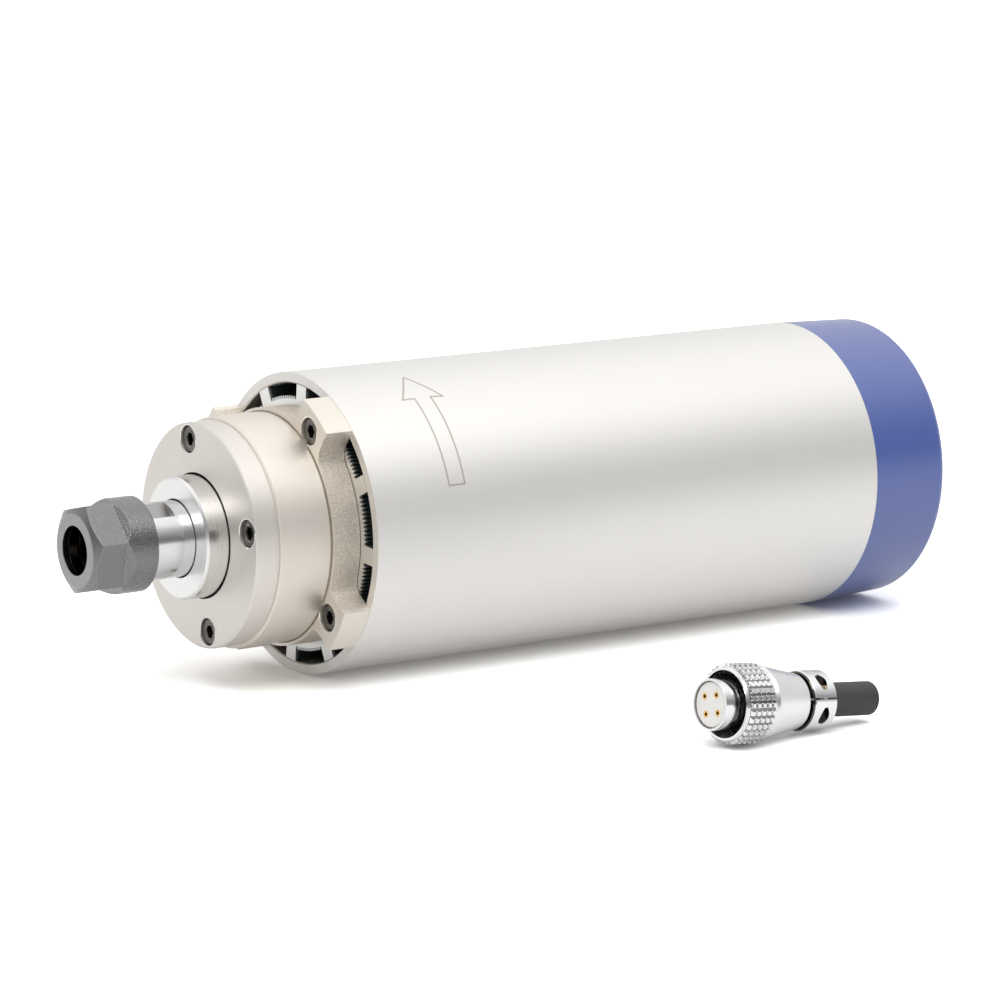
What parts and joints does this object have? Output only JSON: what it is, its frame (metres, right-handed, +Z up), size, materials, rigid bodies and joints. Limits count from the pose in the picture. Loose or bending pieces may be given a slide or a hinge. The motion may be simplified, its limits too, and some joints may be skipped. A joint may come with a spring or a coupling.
{
  "type": "motor spindle",
  "caption": "Round air-cooled motor spindle: plain tube body, lugged bearing nose with a collet nut, slotted fan cover, and a loose locking power plug.",
  "frame": {"origin": "on the spindle axis, in the plane of the body tube's front rim", "axes": "-X out of the nose along the spindle axis, +X to the fan cover, +Z up as it lies in the picture, so the surface it lies on is at z = -40 mm"},
  "size_m": [0.2659, 0.1805, 0.08],
  "materials": {
    "satin_steel": "fine satin, brushed round the tube",
    "extruded_aluminium": "bright extruded, sawn and faced at the front",
    "satin_nickel": "warm satin nickel plate over turned metal",
    "black_screw": "black oxide, oiled",
    "bearing_steel": "ground",
    "lamination_steel": "stacked laminations",
    "copper_winding": "varnished copper wire",
    "spring_steel": "rolled",
    "blue_plastic": "fine matt moulded",
    "plated_zinc": "bright nickel plate over die cast zinc",
    "black_plastic": "moulded",
    "contact_brass": "plated",
    "ground_steel": "ground and polished",
    "turned_aluminium": "fine turned, bright",
    "cast_aluminium": "cast",
    "cage_polymer": "moulded resin",
    "dark_steel": "dark hardened steel, fine blasted",
    "white_plastic": "moulded",
    "black_rubber": "matt extruded"
  },
  "bodies": {
    "housing": {"housing_tube": "satin_steel", "cooling_sleeve": "extruded_aluminium", "front_bearing_housing": "satin_nickel", "front_bearing_cover": "satin_nickel", "cover_screws": "black_screw", "lug_screws": "black_screw", "front_outer_rings": "bearing_steel", "outer_spacer": "bearing_steel", "stator_core": "lamination_steel", "stator_winding": "copper_winding", "rear_bearing_housing": "satin_nickel", "rear_housing_screws": "black_screw", "rear_outer_ring": "bearing_steel", "preload_spring": "spring_steel", "fan_cover": "blue_plastic", "fan_cover_screws": "black_screw", "rear_socket_shell": "plated_zinc", "rear_socket_nut": "plated_zinc", "rear_socket_insulator": "black_plastic", "rear_socket_pins": "contact_brass"},
    "rotor": {"spindle_shaft": "ground_steel", "slinger_ring": "turned_aluminium", "front_inner_rings": "bearing_steel", "inner_spacer": "bearing_steel", "rear_inner_ring": "bearing_steel", "rotor_core": "lamination_steel", "rotor_cage": "cast_aluminium", "fan_spacer": "ground_steel", "cooling_fan": "black_plastic", "fan_nut": "plated_zinc"},
    "front_ball_set": {"front_balls": "bearing_steel", "front_cages": "cage_polymer"},
    "rear_ball_set": {"rear_balls": "bearing_steel", "rear_cage": "cage_polymer"},
    "extraction_ring": {"extraction_ring": "ground_steel"},
    "collet_nut": {"collet_nut": "dark_steel"},
    "plug": {"plug_barrel": "plated_zinc", "plug_insert": "white_plastic", "plug_contacts": "contact_brass", "plug_back_shell": "plated_zinc", "plug_cable_clamp": "plated_zinc", "plug_clamp_screws": "contact_brass", "plug_rubber_sleeve": "black_rubber"},
    "plug_ring": {"plug_coupling_ring": "plated_zinc"}
  },
  "joints": [
    {"name": "rotor_spin", "type": "hinge", "parent": "housing", "child": "rotor", "pos_m": [0, 0, 0], "axis": [1, 0, 0], "continuous": true},
    {"name": "front_ball_orbit", "type": "hinge", "parent": "housing", "child": "front_ball_set", "pos_m": [-0.009, 0, 0], "axis": [1, 0, 0], "continuous": true},
    {"name": "rear_ball_orbit", "type": "hinge", "parent": "housing", "child": "rear_ball_set", "pos_m": [0.1349, 0, 0], "axis": [1, 0, 0], "continuous": true},
    {"name": "nut_travel", "type": "slide", "parent": "rotor", "child": "extraction_ring", "axis": [-1, 0, 0], "range_m": [0, 0.01127]},
    {"name": "nut_turn", "type": "hinge", "parent": "extraction_ring", "child": "collet_nut", "pos_m": [-0.06, 0, 0], "axis": [-1, 0, 0], "range_deg": [0, 2700]},
    {"name": "plug_lift", "type": "slide", "parent": "housing", "child": "plug", "axis": [0, 0, 1], "range_m": [0, 0.12]},
    {"name": "plug_ring_spin", "type": "hinge", "parent": "plug", "child": "plug_ring", "pos_m": [0.04175, -0.1305, -0.02913], "axis": [0.9932, 0.0468, -0.107], "continuous": true}
  ],
  "couplings": [
    {"joint": "front_ball_orbit", "follows": "rotor_spin", "ratio": 0.40107},
    {"joint": "rear_ball_orbit", "follows": "rotor_spin", "ratio": 0.38},
    {"joint": "nut_travel", "follows": "nut_turn", "m_per_rad": 0.00023873}
  ]
}
